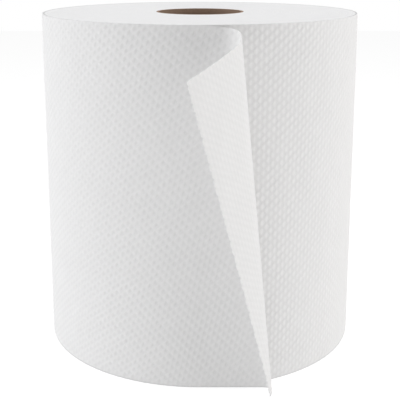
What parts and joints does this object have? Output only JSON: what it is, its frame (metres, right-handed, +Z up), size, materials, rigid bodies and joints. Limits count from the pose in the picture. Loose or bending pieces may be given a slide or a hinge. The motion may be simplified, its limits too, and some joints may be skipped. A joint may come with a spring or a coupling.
{
  "type": "paper towel roll",
  "caption": "Wound roll of plain white embossed paper towel on a board tube, its loose end curled back on itself at the front.",
  "frame": {"origin": "centre of the core's bore at the roll's base", "axes": "+Z up the roll's axis; the loose end hangs at the front, towards -Y, and leaves the roll towards +X"},
  "size_m": [0.1901, 0.2577, 0.2],
  "materials": {
    "towel_paper": "matt, embossed with staggered rows of small dots",
    "core_board": "matt, spirally wound grey-brown board"
  },
  "bodies": {
    "root": {"paper_roll": "towel_paper", "core": "core_board"}
  },
  "joints": []
}
